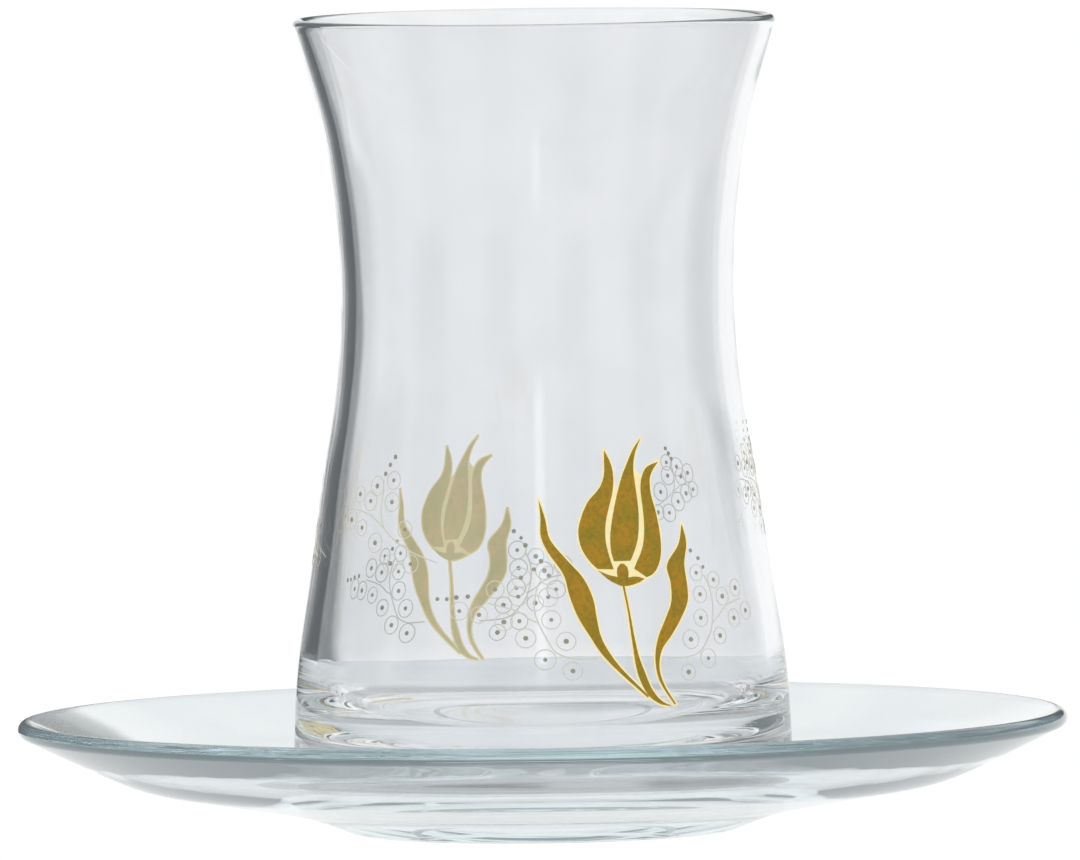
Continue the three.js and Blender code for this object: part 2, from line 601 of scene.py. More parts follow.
def volume_of(piece):
    """Cubic millimetres inside a closed mesh."""
    mesh = piece.data
    mesh.calc_loop_triangles()
    corners = np.empty(len(mesh.vertices) * 3)
    mesh.vertices.foreach_get("co", corners)
    corners = corners.reshape(-1, 3)
    triangles = np.empty(len(mesh.loop_triangles) * 3, dtype=int)
    mesh.loop_triangles.foreach_get("vertices", triangles)
    a, b, c = (corners[triangles.reshape(-1, 3)[:, k]] for k in range(3))
    return float(np.sum(a * np.cross(b, c)) / 6 / MM**3)


for piece in (saucer, glass):
    print(piece.name, "holds", round(volume_of(piece) / 1000, 2), "cubic centimetres of glass")

# %% [markdown]
# ## The print, drawn flat
# The pattern is drawn on an unrolled wall, in millimetres: u runs round the glass and h upwards
# from its underside. A petal or a leaf is a strip between a left and a right edge, each a smooth
# curve through a few points, and a stem is a strip along a single curve, whose width may change
# from point to point. The gaps between the petals are listed too, because they are printed pale.

# %% Tulip outlines
REFERENCE_RADIUS = 25.0  # of the wall where the pattern is, for turning u into an angle
LEFT_PETAL = [
    [(-3.8, 25.8), (-4.6, 26.6), (-5.5, 28.1), (-5.8, 29.8), (-5.5, 31.3), (-4.6, 33.2),
     (-3.1, 34.8), (-2.5, 36.2), (-2.4, 37.6), (-2.3, 38.9)],
    [(-2.0, 25.7), (-2.4, 27.1), (-2.7, 28.5), (-2.75, 29.7), (-2.6, 31.0), (-2.2, 32.4),
     (-1.6, 34.3), (-1.4, 35.9), (-1.6, 37.4), (-2.3, 38.9)],
]
MIDDLE_PETAL = [
    [(-1.9, 26.6), (-2.15, 27.5), (-2.2, 29.0), (-2.0, 30.5), (-1.6, 32.2), (-1.1, 33.9),
     (-0.4, 35.8), (0.4, 37.3), (1.3, 38.8), (2.5, 40.1)],
    [(0.0, 26.6), (0.35, 27.2), (0.95, 28.6), (1.25, 29.9), (1.4, 31.5), (1.4, 33.0),
     (1.25, 35.0), (1.2, 36.9), (1.6, 38.5), (2.5, 40.1)],
]
RIGHT_PETAL = [
    [(0.4, 25.7), (0.75, 26.4), (1.4, 27.6), (1.8, 28.8), (2.0, 30.4), (2.0, 32.3),
     (1.9, 34.4), (2.2, 35.8), (3.0, 36.9), (4.6, 37.4)],
    [(1.8, 24.7), (2.7, 25.1), (3.5, 26.2), (3.9, 27.8), (3.9, 29.8), (3.6, 32.0),
     (3.2, 33.8), (3.2, 35.5), (3.7, 36.5), (4.6, 37.4)],
]
LEFT_LEAF = [
    [(0.9, 11.4), (-1.95, 14.2), (-3.75, 16.3), (-4.95, 18.3), (-6.2, 20.6), (-7.0, 22.9),
     (-7.6, 25.3), (-9.2, 27.7), (-10.0, 29.6), (-10.0, 31.6), (-10.2, 33.6)],
    [(1.0, 11.6), (-1.55, 14.4), (-3.0, 16.5), (-3.85, 18.4), (-4.2, 20.5), (-4.5, 22.6),
     (-5.5, 24.9), (-7.2, 26.9), (-9.0, 29.2), (-9.5, 31.5), (-10.2, 33.6)],
]
RIGHT_LEAF = [
    [(3.9, 10.5), (2.55, 12.7), (2.05, 14.4), (2.1, 16.4), (2.7, 18.3), (3.7, 20.1),
     (4.6, 21.9), (4.75, 24.0), (4.5, 26.0), (6.3, 28.2), (7.0, 30.4)],
    [(4.1, 10.5), (2.85, 12.7), (2.4, 14.6), (2.85, 16.6), (4.2, 18.2), (5.6, 20.0),
     (6.7, 21.8), (6.9, 23.6), (6.8, 26.0), (7.4, 28.3), (7.0, 30.4)],
]
CALYX_LEFT = [
    [(-3.7, 25.55), (-2.6, 24.55), (-1.5, 23.95), (-0.9, 23.75)],
    [(-3.7, 25.6), (-2.6, 25.1), (-1.6, 24.85), (-0.9, 24.6)],
]
CALYX_RIGHT = [
    [(-1.1, 24.6), (-0.3, 24.75), (0.6, 24.85), (1.5, 24.55)],
    [(-1.1, 23.8), (-0.3, 23.85), (0.7, 24.1), (1.5, 24.5)],
]
CALYX_STUB = [
    [(-1.55, 24.2), (-1.6, 25.0), (-1.65, 25.7), (-1.2, 26.3)],
    [(-0.4, 24.2), (-0.35, 25.0), (-0.3, 25.7), (-0.8, 26.3)],
]
CALYX_GAP = [
    [(-3.7, 25.55), (-2.6, 24.9), (-1.4, 24.6), (-0.4, 24.6), (0.6, 24.7), (1.8, 24.5)],
    [(-3.8, 25.8), (-2.3, 25.9), (-1.7, 26.7), (-0.1, 26.7), (0.5, 25.8), (1.9, 24.8)],
]
# The pale lines between the petals, up to where the petals part.
TULIP_GAPS = [
    (LEFT_PETAL[1][:7], MIDDLE_PETAL[0][:7]),
    (MIDDLE_PETAL[1][:8], RIGHT_PETAL[0][:8]),
    CALYX_GAP,
]
TULIP_FILLS = {
    "left_petal": LEFT_PETAL,
    "middle_petal": MIDDLE_PETAL,
    "right_petal": RIGHT_PETAL,
    "left_leaf": LEFT_LEAF,
    "right_leaf": RIGHT_LEAF,
    "calyx_left": CALYX_LEFT,
    "calyx_right": CALYX_RIGHT,
    "calyx_stub": CALYX_STUB,
}
TULIP_STEM = [(-1.0, 23.9), (-0.6, 21.0), (-0.3, 17.8), (0.1, 15.0), (1.0, 12.3), (2.2, 10.9),
              (3.4, 10.4)]
TULIP_STEM_WIDTHS = [0.20, 0.20, 0.27, 0.42, 0.82, 0.70, 0.10]  # at those points
print("a tulip has", len(TULIP_FILLS), "filled shapes and", len(TULIP_GAPS), "pale gaps")

# %% [markdown]
# ## Sprigs
# Beside each tulip grows a low sprig on either hand: thin stems that fork, with small rings that
# have a dot in the middle, and a row of bare dots at each tip. A third kind, the high sprig,
# fills the wall between the two tulips.

# %% Sprig lines and berries
STEM_WIDTH = 0.15
RIGHT_SPRIG = {
    "stems": [
        [(3.5, 15.6), (6.6, 15.8), (8.0, 16.5), (9.4, 18.2), (9.9, 19.4), (10.3, 21.4),
         (10.1, 23.3), (9.5, 24.6)],
        [(9.8, 19.2), (11.0, 20.0), (12.5, 21.1), (15.2, 21.7)],
    ],
    "berries": [
        (5.9, 14.0), (8.7, 15.4), (6.6, 17.6), (10.8, 17.8), (8.3, 19.9), (13.5, 19.6),
        (8.6, 22.5), (12.0, 22.1), (14.5, 22.9), (15.9, 20.3), (10.9, 24.0), (8.4, 24.9),
    ],
    "dots": [(9.5, 25.5), (8.9, 26.5), (7.9, 27.4)],
}
LEFT_SPRIG = {
    "stems": [
        [(-4.3, 15.9), (-6.3, 15.9), (-7.3, 16.1), (-8.7, 16.8), (-9.9, 19.0), (-10.6, 20.6),
         (-10.8, 21.8), (-10.5, 23.8), (-10.1, 24.6)],
        [(-10.4, 20.0), (-11.3, 20.4), (-12.6, 21.3), (-15.8, 22.2)],
    ],
    "berries": [
        (-6.9, 14.6), (-9.7, 15.9), (-7.5, 17.9), (-11.7, 18.3), (-9.0, 20.3), (-9.3, 22.8),
        (-12.5, 22.9), (-14.0, 20.1), (-12.2, 25.0), (-9.2, 25.2), (-15.0, 23.7), (-16.7, 20.9),
        (-18.9, 21.3),
    ],
    "dots": [(-10.8, 25.9), (-10.0, 26.8), (-18.0, 22.9), (-19.3, 22.8), (-20.4, 22.6),
             (-21.5, 22.6)],
}
HIGH_SPRIG = {
    "stems": [
        [(6.6, 26.6), (2.6, 28.0), (-0.9, 30.2), (-1.7, 32.4), (-1.5, 34.6)],
        [(-0.9, 30.2), (-2.9, 31.4), (-4.4, 31.9), (-6.2, 32.2)],
    ],
    "berries": [
        (-0.1, 35.6), (-2.7, 34.9), (-0.1, 33.2), (-3.6, 33.2), (-5.7, 33.9), (-4.7, 30.2),
        (-2.2, 28.6), (0.4, 26.4), (2.1, 30.2), (3.2, 26.4), (-6.9, 31.0),
    ],
    "dots": [(-1.5, 36.3), (-0.9, 37.3), (-0.2, 38.2)],
}
BERRY_RADIUS = 1.0
BERRY_LINE = 0.11
DOT_RADIUS = 0.25
for title, sprig in {"left": LEFT_SPRIG, "right": RIGHT_SPRIG, "high": HIGH_SPRIG}.items():
    print("the", title, "sprig has", len(sprig["berries"]), "berries")

# %% [markdown]
# ## Where the motifs go
# The pattern repeats round the glass: a tulip in front, a little to the right, and its mirror
# image behind, slightly smaller, which shows through the glass on the left. Four high sprigs
# fill the wall between them, each set a little differently, as hand-laid transfers are.

# %% Layout
PRIMARY, MIRRORED = 1, -1
# Each place: angle round the axis from the front, side, scale, and how much it is raised in mm.
TULIP_PLACES = [(23.0, PRIMARY, 1.0, 0.0), (203.0, MIRRORED, 0.87, 0.0)]
HIGH_SPRIG_PLACES = [
    (-42.0, PRIMARY, 1.0, 0.0), (88.0, PRIMARY, 1.0, 2.6),
    (141.0, PRIMARY, 0.62, 3.4), (268.0, PRIMARY, 0.9, 0.0),
]
SCALE_CENTRE = 25.4  # height that stays where it is when a motif is made smaller


def placed(points, place):
    """Motif points to wall coordinates."""
    angle, side, scale, raised = place
    points = np.array(points, dtype=float)
    u = math.radians(angle) * REFERENCE_RADIUS + side * scale * points[:, 0]
    h = SCALE_CENTRE + scale * (points[:, 1] - SCALE_CENTRE) + raised
    return np.column_stack((u, h))


print("motifs round the glass:", len(TULIP_PLACES), "tulips,", len(HIGH_SPRIG_PLACES), "high sprigs")

# %% [markdown]
# ## Strips
# A strip is a grid of points: stations along it and a few columns across. A petal or a leaf
# fills the space between two edges, and a stem follows one curve.

# %% Strips
STATION_STEP = 0.45
FEWEST_STATIONS = 4
COLUMN_STEP = 0.9
MOTIF_STEPS_PER_SPAN = 12


def resampled(points, count):
    """Points at even spacing along a smooth curve."""
    curve = smooth(points, MOTIF_STEPS_PER_SPAN)
    travel = np.concatenate(([0.0], np.cumsum(np.linalg.norm(np.diff(curve, axis=0), axis=1))))
    wanted = np.linspace(0.0, travel[-1], count)
    return np.column_stack([np.interp(wanted, travel, curve[:, k]) for k in (0, 1)])


def strip_between(left, right, margin=0.0):
    """A grid of points between two edges, each widened by margin."""
    length = np.linalg.norm(np.diff(np.array(left), axis=0), axis=1).sum()
    count = max(FEWEST_STATIONS, int(length / STATION_STEP))
    left, right = resampled(left, count), resampled(right, count)
    if margin:
        along = np.gradient((left + right) / 2, axis=0)
        along /= np.linalg.norm(along, axis=1)[:, None]
        across = np.column_stack((along[:, 1], -along[:, 0]))
        left, right = left - across * margin, right + across * margin
        for edge in (left, right):
            edge[0] -= along[0] * margin
            edge[-1] += along[-1] * margin
    widest = np.linalg.norm(right - left, axis=1).max()
    columns = int(widest / COLUMN_STEP) + 2
    t = np.linspace(0.0, 1.0, columns)[None, :, None]
    return left[:, None] * (1 - t) + right[:, None] * t


def strip_along(points, widths):
    """A grid of points along a curve; widths is one number or one for each point."""
    length = np.linalg.norm(np.diff(np.array(points), axis=0), axis=1).sum()
    middle = resampled(points, max(FEWEST_STATIONS, int(length / STATION_STEP)))
    widths = np.broadcast_to(widths, len(points))
    width = np.interp(np.linspace(0, 1, len(middle)), np.linspace(0, 1, len(points)), widths)
    along = np.gradient(middle, axis=0)
    along /= np.linalg.norm(along, axis=1)[:, None]
    across = np.column_stack((along[:, 1], -along[:, 0])) * width[:, None] / 2
    return np.stack((middle - across, middle + across), axis=1)


print("the left petal is a grid of", strip_between(*LEFT_PETAL).shape[:2], "points")

# %% [markdown]
# ## From strips to thin slabs
# Print has a thickness, even if it is only a few hundredths of a millimetre, so each strip
# becomes a closed slab. Its inner face is sunk into the wall, so that no air gap opens between
# print and glass, and its outer face stands proud of the wall, except on the dull layer at the
# back, which lies wholly inside. The third coordinate of the flat mesh is the distance from the
# surface of the wall.

# %% Slabs
class Slabs:
    """Collects strips as closed slabs between two distances from the wall."""

    def __init__(self, sunk, proud):
        self.levels = (-sunk, proud)
        self.vertices = []
        self.faces = []

    def add(self, grid, flipped):
        rows, columns = grid.shape[:2]
        if flipped:
            grid = grid[:, ::-1]
        start = len(self.vertices)
        for level in self.levels:
            self.vertices += [(u, h, level) for u, h in grid.reshape(-1, 2)]
        top = start + rows * columns

        def cell(row, column, base):
            return base + row * columns + column

        for row in range(rows - 1):
            for column in range(columns - 1):
                ring = [(row, column), (row, column + 1), (row + 1, column + 1), (row + 1, column)]
                self.faces.append([cell(*corner, top) for corner in ring])
                self.faces.append([cell(*corner, start) for corner in reversed(ring)])
        edge = [(0, c) for c in range(columns)]
        edge += [(r, columns - 1) for r in range(1, rows)]
        edge += [(rows - 1, c) for c in range(columns - 2, -1, -1)]
        edge += [(r, 0) for r in range(rows - 2, 0, -1)]
        for here, there in zip(edge, edge[1:] + edge[:1]):
            self.faces.append(
                [cell(*here, start), cell(*there, start), cell(*there, top), cell(*here, top)]
            )

    def mesh(self, name):
        return mesh_of(name, self.vertices, (), self.faces)


# How deep the inner face of each layer lies in the wall, and how far its outer face stands out.
GOLD_SUNK, GOLD_PROUD = 0.01, 0.05
CREAM_SUNK, CREAM_PROUD = 0.04, 0.02
LINE_SUNK, LINE_PROUD = 0.03, 0.035
UNDER_SUNK, UNDER_PROUD = 0.05, -0.03

gold_flat = Slabs(GOLD_SUNK, GOLD_PROUD)
cream_flat = Slabs(CREAM_SUNK, CREAM_PROUD)
line_flat = Slabs(LINE_SUNK, LINE_PROUD)
under_flat = Slabs(UNDER_SUNK, UNDER_PROUD)
print("the gold is", round(GOLD_SUNK + GOLD_PROUD, 3), "mm thick")

# %% [markdown]
# ## Drawing the layers
# The tulip has three layers: gold on top, a pale coat that reaches a little past it on every
# side, and behind both a dull one that is seen only through the glass. The stems of the sprigs
# are a layer of their own.

# %% Fill the layers
CREAM_MARGIN = 0.2  # how far the pale coat reaches past the gold


def add_strip(slabs, grid, place):
    flat = placed(grid.reshape(-1, 2), place).reshape(grid.shape)
    slabs.add(flat, place[1] == MIRRORED)


stem_strip = strip_along(TULIP_STEM, TULIP_STEM_WIDTHS)
stem_edge = strip_along(TULIP_STEM, np.array(TULIP_STEM_WIDTHS) + 2 * CREAM_MARGIN)
for place in TULIP_PLACES:
    for left, right in TULIP_FILLS.values():
        add_strip(gold_flat, strip_between(left, right), place)
        add_strip(under_flat, strip_between(left, right), place)
        add_strip(cream_flat, strip_between(left, right, CREAM_MARGIN), place)
    for left, right in TULIP_GAPS:
        add_strip(cream_flat, strip_between(left, right), place)
    add_strip(gold_flat, stem_strip, place)
    add_strip(under_flat, stem_strip, place)
    add_strip(cream_flat, stem_edge, place)
    for sprig in (LEFT_SPRIG, RIGHT_SPRIG):
        for stem in sprig["stems"]:
            add_strip(line_flat, strip_along(stem, STEM_WIDTH), place)
for place in HIGH_SPRIG_PLACES:
    for stem in HIGH_SPRIG["stems"]:
        add_strip(line_flat, strip_along(stem, STEM_WIDTH), place)
print("faces of the gold, the coat, the dull layer and the stems:")
print([len(slabs.faces) for slabs in (gold_flat, cream_flat, under_flat, line_flat)])

# %% [markdown]
# ## Wrapping onto the wall
# Real decoration is printed flat onto a sheet and slid onto the glass. The tree does the same:
# for every point it shoots a ray from outside towards the axis, at the point's own height and
# angle, and puts the point where the ray meets the wall, plus its distance from the surface.

# %% Wrap tree
RAY_START = 60 * MM  # radius that the rays come from, well outside the wall


def add_wrap(flat, wall):
    """The nodes that lay flat millimetre geometry on the wall."""
    place = flat.node("GeometryNodeInputPosition")
    u, h, level = place.parts()
    angle = u / REFERENCE_RADIUS
    east = angle.maths("SINE")
    north = angle.maths("COSINE") * -1.0
    height = (h + GLASS_FOOT) * MM
    origin = flat.node(
        "ShaderNodeCombineXYZ",
        None,
        {"X": east * RAY_START, "Y": north * RAY_START, "Z": height},
    )
    inward = flat.node("ShaderNodeCombineXYZ", None, {"X": east * -1.0, "Y": north * -1.0})
    target = flat.node("GeometryNodeObjectInfo", None, {"Object": wall}, "Geometry")
    ray_inputs = {
        "Target Geometry": target,
        "Source Position": origin,
        "Ray Direction": inward,
        "Ray Length": RAY_START,
    }
    hit = flat.node("GeometryNodeRaycast", {"data_type": "FLOAT"}, ray_inputs, "Hit Position")
    normal = Wire(flat.tree, hit.socket.node.outputs["Hit Normal"])
    offset = normal.scaled(level * MM)
    on_wall = flat.node("ShaderNodeVectorMath", {"operation": "ADD"}, {0: hit, 1: offset})
    return flat.node("GeometryNodeSetPosition", None, {"Geometry": flat, "Position": on_wall})


def wrap_tree():
    tree, given = new_tree("wrap_on_wall", {
        "Wall": "NodeSocketObject",
        "Material": "NodeSocketMaterial",
    })
    wrapped = add_wrap(given["Geometry"], given["Wall"])
    end_tree(tree, finish_mesh(wrapped, given["Material"]))
    return tree


WRAPPING = wrap_tree()
print("the wrap tree has", len(WRAPPING.nodes), "nodes")

# %% [markdown]
# ## Berries by instancing
# A berry is a thin ring with a dot in it, and there are nearly a hundred. One tree makes a ring
# and another a dot. Each puts its shape on the points of the input mesh, makes every copy a
# little larger or smaller, as hand-drawn ones are, and wraps the lot onto the wall. They are two
# trees because rings and dots are printed in different strengths.

# %% Ring and dot trees
RING_SIDES = 18
DOT_SIDES = 12
COPY_INPUTS = {
    "Wall": "NodeSocketObject",
    "Radius": "NodeSocketFloat",
    "Variation": "NodeSocketFloat",
    "Seed": "NodeSocketInt",
    "Material": "NodeSocketMaterial",
}


def copies_on_wall(given, shape):
    """Copies of a shape on the points, each of its own size, laid on the wall."""
    points = given["Geometry"]
    spread = given["Variation"]
    limits = {2: 1 - spread, 3: 1 + spread, "Seed": given["Seed"]}
    size = points.node("FunctionNodeRandomValue", {"data_type": "FLOAT"}, limits, 1)
    factors = points.node("ShaderNodeCombineXYZ", None, {"X": size, "Y": size, "Z": 1.0})
    spots = {"Points": points, "Instance": shape, "Scale": factors}
    copies = points.node("GeometryNodeInstanceOnPoints", None, spots)
    real = points.node("GeometryNodeRealizeInstances", None, {"Geometry": copies})
    return finish_mesh(add_wrap(real, given["Wall"]), given["Material"])


def ring_tree():
    tree, given = new_tree("rings_on_wall", {**COPY_INPUTS, "Line": "NodeSocketFloat"})
    desk = given["Geometry"]
    round_line = {"Radius": given["Radius"], "Resolution": RING_SIDES}
    circle = desk.node("GeometryNodeCurvePrimitiveCircle", None, round_line)
    across = {"Width": given["Line"], "Height": LINE_SUNK + LINE_PROUD}
    section = desk.node("GeometryNodeCurvePrimitiveQuadrilateral", None, across)
    sweep = {"Curve": circle, "Profile Curve": section}
    ring = desk.node("GeometryNodeCurveToMesh", None, sweep)
    end_tree(tree, copies_on_wall(given, ring))
    return tree


def dot_tree():
    tree, given = new_tree("dots_on_wall", COPY_INPUTS)
    thickness = LINE_SUNK + LINE_PROUD
    flat_disc = {"Vertices": DOT_SIDES, "Radius": given["Radius"], "Depth": thickness}
    disc = given["Geometry"].node("GeometryNodeMeshCylinder", None, flat_disc)
    end_tree(tree, copies_on_wall(given, disc))
    return tree


RINGS = ring_tree()
DOTS = dot_tree()


def motif_points(key):
    """All points of one kind, at the level midway between the slab's two faces."""
    rows = []
    for place in TULIP_PLACES:
        for sprig in (LEFT_SPRIG, RIGHT_SPRIG):
            rows.append(placed(sprig[key], place))
    for place in HIGH_SPRIG_PLACES:
        rows.append(placed(HIGH_SPRIG[key], place))
    middle = (LINE_PROUD - LINE_SUNK) / 2
    return [(u, h, middle) for u, h in np.vstack(rows)]


print("berries round the glass:", len(motif_points("berries")))

# %% [markdown]
# ## The finishes of the print
# The gold is a fired metal paint: part metal, part pigment, a little mottled where it lies
# thinner. The coat under it is a pale cream that shows as a fine edge outside. The dull gold at
# the very back is what the far tulip shows through the glass. The sprigs are thin lines of a
# pale, greyish gold with darker dots. Print this thin lets light through, so every finish but
# the gold glows a little in its own first colour: painted light in place of that light.

# %% Print finishes
GRAIN = 0.45 * MM
GRAIN_HEIGHT, GRAIN_STRENGTH = 0.01 * MM, 0.3
GRAIN_SHARE = 0.6  # how far a speck of the grain goes towards the third colour
GRAIN_ROUGHNESS = 0.2
PATCH_RANGE, GRAIN_RANGE = (0.38, 0.62), (0.42, 0.68)


def print_finish(name, colours, patch, glow, metallic=0.0, roughness=0.5):
    """colours are the two of the soft patches and the one of the fine grain."""
    material, desk = new_material(name)
    material.cycles.emission_sampling = "NONE"
    place = coordinates(desk)
    broad = noise_at(desk, place, patch, detail=3.0)
    fine = noise_at(desk, place, GRAIN, detail=3.0)
    base = broad.smooth_step(*PATCH_RANGE).mix_colours(colours[0], colours[1])
    speckle = fine.smooth_step(*GRAIN_RANGE) * GRAIN_SHARE
    tone = speckle.mix_colours(base, colours[2])
    bump = bumps(desk, fine, GRAIN_HEIGHT, GRAIN_STRENGTH)
    shader = desk.node("ShaderNodeBsdfPrincipled", None, {
        "Base Color": tone,
        "Metallic": metallic,
        "Roughness": roughness + (fine - 0.5) * GRAIN_ROUGHNESS,
        # The glow is painted light, standing in for the light that comes through the thin print.
        "Emission Color": colours[0],
        "Emission Strength": glow,
        "Normal": bump,
    })
    output_surface(desk, shader)
    return material


gold_print = print_finish(
    "gold_print",
    [(0.34, 0.225, 0.004, 1), (0.44, 0.235, 0.004, 1), (0.22, 0.165, 0.008, 1)],
    patch=2.5 * MM, glow=0.0, metallic=0.3, roughness=0.45,
)
outline_print = print_finish(
    "outline_print",
    [(0.58, 0.51, 0.27, 1), (0.62, 0.55, 0.32, 1), (0.54, 0.46, 0.24, 1)],
    patch=2.0 * MM, glow=0.7,
)
under_print = print_finish(
    "under_print",
    [(0.50, 0.44, 0.19, 1), (0.68, 0.47, 0.22, 1), (0.46, 0.42, 0.22, 1)],
    patch=2.2 * MM, glow=0.42,
)
line_print = print_finish(
    "line_print",
    [(0.22, 0.215, 0.19, 1), (0.26, 0.25, 0.22, 1), (0.20, 0.19, 0.16, 1)],
    patch=1.5 * MM, glow=1.8,
)
dot_print = print_finish(
    "dot_print",
    [(0.16, 0.15, 0.115, 1), (0.20, 0.185, 0.15, 1), (0.13, 0.12, 0.10, 1)],
    patch=1.5 * MM, glow=0.9,
)
print("the gold finish is made of", len(gold_print.node_tree.nodes), "nodes")

# %% [markdown]
# ## Laying the print on the glass
# Now the flat slabs and the points meet the wall. The glass has to exist already, because the
# rays of the wrap look for it. Each kind of print becomes one piece, so that it can have a
# finish of its own.

# %% Wrap the print
def wrapped_piece(name, slabs, material):
    flat = slabs.mesh(name + "_flat")
    return grow(name, WRAPPING, flat, {"Wall": glass, "Material": material})


gold = wrapped_piece("tulip_gold", gold_flat, gold_print)
cream = wrapped_piece("tulip_edge", cream_flat, outline_print)
under = wrapped_piece("tulip_underside", under_flat, under_print)
stems = wrapped_piece("sprig_stems", line_flat, line_print)
berries = grow("sprig_rings", RINGS, mesh_of("berry_points", motif_points("berries")), {
    "Wall": glass,
    "Radius": BERRY_RADIUS,
    "Line": BERRY_LINE,
    "Variation": 0.12,
    "Seed": 5,
    "Material": line_print,
})
dots = grow(
    "sprig_dots",
    DOTS,
    mesh_of("dot_points", motif_points("berries") + motif_points("dots")),
    {"Wall": glass, "Radius": DOT_RADIUS, "Variation": 0.15, "Seed": 9, "Material": dot_print},
)

for piece in (gold, cream, under, stems, berries, dots):
    print(piece.name, "has a volume of", round(volume_of(piece), 2), "cubic millimetres")

# %% [markdown]
# ## The floor
# Clear glass is photographed against a bright field, so the floor is a small white disc that
# glows and melts into the white background. To the camera it is pure white everywhere. Through
# the glass it is a shade darker near the saucer, where the object keeps the light off it.

# %% Floor
FLOOR_RADIUS = 0.23
FLOOR_DROP = 0.2 * MM
SHADE_REACH = (0.055, 0.13)  # radii between which the floor under the saucer grows light
SHADED_GLOW = 0.95
WHITE = 1.02  # radiance that the camera takes as pure white
FLOOR_STEPS = 96


def flat_stage(name, corners, material):
    """A flat piece of the studio, which is no part of the object."""
    piece = bpy.data.objects.new(name, mesh_of(name, corners, (), [list(range(len(corners)))]))
    bpy.context.scene.collection.objects.link(piece)
    piece.data.materials.append(material)
    return piece


def make_floor():
    angles = [2 * math.pi * k / FLOOR_STEPS for k in range(FLOOR_STEPS)]
    rim = [(FLOOR_RADIUS * math.cos(a), FLOOR_RADIUS * math.sin(a), -FLOOR_DROP) for a in angles]
    material, desk = new_material("floor_white")
    x, y, _ = coordinates(desk).parts()
    lightness = (x * x + y * y).maths("SQRT").smooth_step(*SHADE_REACH)
    glow = SHADED_GLOW + (WHITE - SHADED_GLOW) * lightness
    seen = desk.node("ShaderNodeLightPath", None, None, "Is Camera Ray")
    strength = glow + (WHITE - glow) * seen
    shader = desk.node("ShaderNodeEmission", None, {"Color": (1, 1, 1, 1), "Strength": strength})
    output_surface(desk, shader)
    flat_stage("floor", rim, material)


make_floor()
print("the floor is", round(2 * FLOOR_RADIUS, 2), "m across")

# %% [markdown]
# ## A dark card
# A wall of glass seen from the side bends the view outwards, so a dark card beside the picture
# draws a dark line along that side. This one stands behind the glass on the left. Its near edge
# is soft, and it leans, so that the line is wider at the foot than at the waist. The camera
# doesn't see the card itself.

# %% Dark card
# Sizes of the card in millimetres, with x to the right and z up.
CARD_DEPTH = 150.0  # distance behind the axis of the glass
CARD_FOOT, CARD_LEAN = -41.0, -0.30  # x of the near edge on the floor, and its change per mm up
CARD_FADE = 20.0  # width of the soft near edge
CARD_TOP, CARD_FAR = 150.0, -210.0
CARD_GLOW = 0.12


def make_card():
    corners = [
        (CARD_FOOT, 0), (CARD_FOOT + CARD_LEAN * CARD_TOP, CARD_TOP),
        (CARD_FAR, CARD_TOP), (CARD_FAR, 0),
    ]
    points = [(x * MM, CARD_DEPTH * MM, z * MM) for x, z in corners]
    material, desk = new_material("card_grey")
    x, _, z = coordinates(desk).parts()
    inwards = (CARD_FOOT * MM + z * CARD_LEAN - x).smooth_step(0.0, CARD_FADE * MM)
    grey = desk.node(
        "ShaderNodeEmission", None, {"Color": (0.92, 0.96, 1, 1), "Strength": CARD_GLOW}
    )
    clear = desk.node("ShaderNodeBsdfTransparent")
    shader = desk.node("ShaderNodeMixShader", None, {0: inwards, 1: clear, 2: grey})
    output_surface(desk, shader)
    card = flat_stage("dark_card", points, material)
    card.visible_camera = False


make_card()
print("the card starts", -CARD_FOOT, "mm to the left of the axis")

# %% [markdown]
# ## The studio as a world
# Everything round the object is white, with soft dark fields outside the picture that the edges
# of the glass bend into view: they draw its rims, its sides and the folds of its base. A wide
# one on the left reaches from the floor well up, others stand a little raised, and weak ones go
# all round, so that the glass has lines from every side. A narrow strip lamp in front leaves the
# soft upright line on the wall, and the ceiling is a light grey. The camera sees plain white.

# %% World
CEILING = 0.86
CEILING_HEIGHTS = (0.35, 0.6)  # sines of the elevations between which it sets in
ALL_ROUND = ((-0.23, -0.17), (0.45, 0.65))
RAISED = ((0.05, 0.10), (0.28, 0.36))
# A dark field: bearing of its middle, half width and width of the soft edge in degrees, darkness,
# and the sines of the elevations where it fades in and out. A bearing of 0 is straight behind
# the object, and 90 is to its right.
DARK_FIELDS = [
    (-42.0, 25.0, 7.0, 0.82, ALL_ROUND),
    (32.0, 28.0, 8.0, 0.85, RAISED),
    (-82.0, 15.0, 8.0, 0.70, RAISED),
    (6.5, 7.0, 4.0, 0.80, RAISED),
    (67.5, 10.0, 10.0, 0.30, ALL_ROUND),
    (112.5, 10.0, 10.0, 0.40, ALL_ROUND),
    (157.5, 9.0, 10.0, 0.30, ALL_ROUND),
    (-157.5, 9.0, 10.0, 0.30, ALL_ROUND),
    (-112.5, 10.0, 10.0, 0.40, ALL_ROUND),
]
# The strip lamp in front, whose mirror image is the soft upright line on the glass.
LAMP_BEARING, LAMP_HALF_WIDTH, LAMP_EDGE = 180.0, 2.5, 4.0
LAMP_HEIGHTS = ((0.10, 0.18), (0.26, 0.34))
LAMP_RADIANCE = 2.4


def sector(direction, bearing, half_width, edge, heights):
    """1 inside a field of the sky, 0 outside, with soft borders."""
    x, y, z = direction
    level = (x * x + y * y).maths("SQRT").maths("MAXIMUM", 1e-4)  # never 0, because it divides
    middle = math.radians(bearing)
    facing = (x * math.sin(middle) + y * math.cos(middle)) / level
    off = facing.maths("MINIMUM", 1.0).maths("ARCCOSINE")
    near = math.radians(half_width - edge / 2)
    far = math.radians(half_width + edge / 2)
    foot, top = heights
    return (1 - off.smooth_step(near, far)) * z.smooth_step(*foot) * (1 - z.smooth_step(*top))


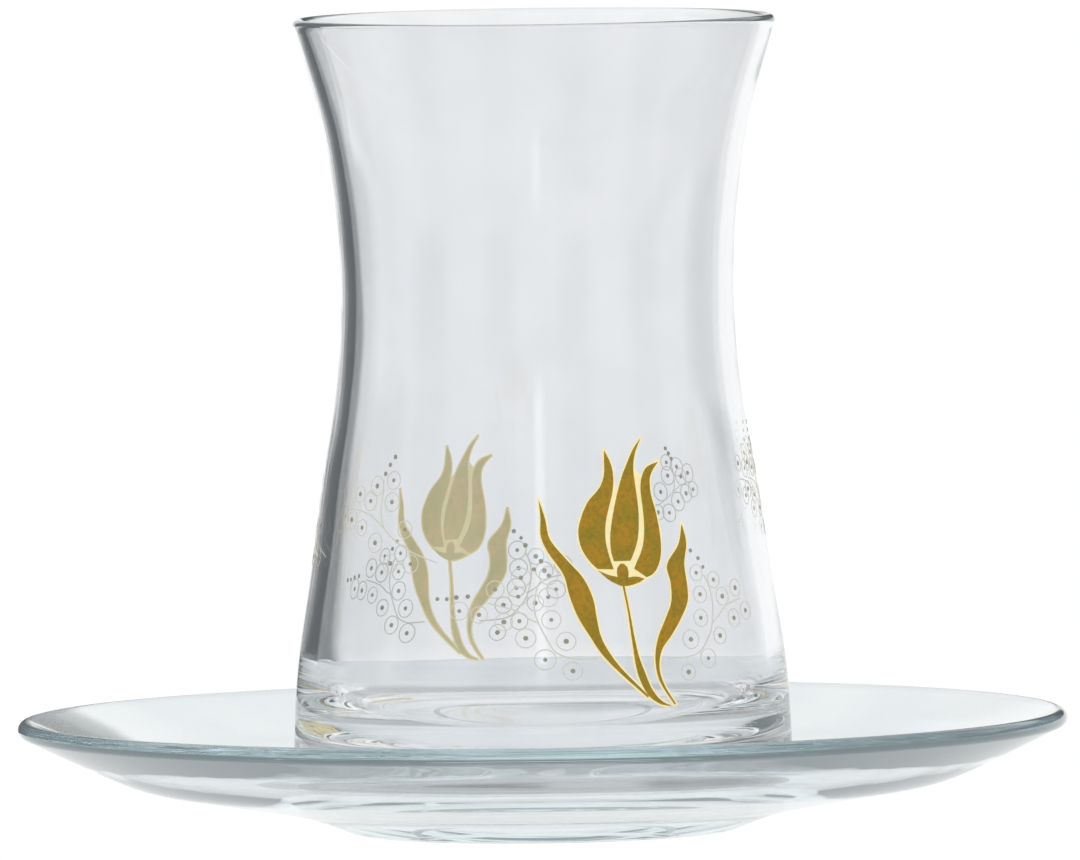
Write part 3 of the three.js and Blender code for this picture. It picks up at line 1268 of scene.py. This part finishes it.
def make_world():
    world = bpy.data.worlds.new("studio")
    bpy.context.scene.world = world
    world.use_nodes = True
    tree = world.node_tree
    tree.nodes.clear()
    desk = Wire(tree)
    direction = desk.node("ShaderNodeTexCoord", None, None, "Generated").parts()
    above = direction[2].smooth_step(*CEILING_HEIGHTS)
    field = WHITE * (1 - (1 - CEILING) * above)
    for bearing, half_width, edge, darkness, heights in DARK_FIELDS:
        field = field * (1 - darkness * sector(direction, bearing, half_width, edge, heights))
    lamp = sector(direction, LAMP_BEARING, LAMP_HALF_WIDTH, LAMP_EDGE, LAMP_HEIGHTS)
    studio = field + (LAMP_RADIANCE - WHITE) * lamp
    seen = desk.node("ShaderNodeLightPath", None, None, "Is Camera Ray")
    radiance = studio + (WHITE - studio) * seen
    behind = desk.node("ShaderNodeBackground", None, {"Color": (1, 1, 1, 1), "Strength": radiance})
    leave = tree.nodes.new("ShaderNodeOutputWorld")
    desk.feed(leave.inputs["Surface"], behind)


make_world()
print("dark fields in the studio:", len(DARK_FIELDS))

# %% [markdown]
# ## Long paths for light
# A ray that enters the base of the glass is turned back many times before it leaves. With too
# few bounces it is given up and leaves a black spot, so the limits are high. The Standard view
# keeps white pure white.

# %% Render settings that belong to the look
scene = bpy.context.scene
scene.view_settings.view_transform = "Standard"
scene.cycles.max_bounces = 24
scene.cycles.transmission_bounces = 24
scene.cycles.glossy_bounces = 12
scene.cycles.diffuse_bounces = 3
scene.cycles.transparent_max_bounces = 16
scene.cycles.blur_glossy = 0.0
scene.cycles.sample_clamp_indirect = 12.0
print("bounces through glass:", scene.cycles.transmission_bounces)

# %% [markdown]
# ## Tying the pieces to the frame
# Both pieces of glass stand for the two solids, and the print goes with the glass. Everything
# rides on the one body that the row has.

# %% Ride and replace
SLOTS = {
    saucer: "saucer_glass",
    glass: "clear_glass",
    gold: "gold_print",
    cream: "outline_print",
    under: "gold_print",
    stems: "sprig_print",
    berries: "sprig_print",
    dots: "sprig_print",
}
for piece, slot in SLOTS.items():
    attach(piece, "root")
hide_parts("saucer")
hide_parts("tea_glass")
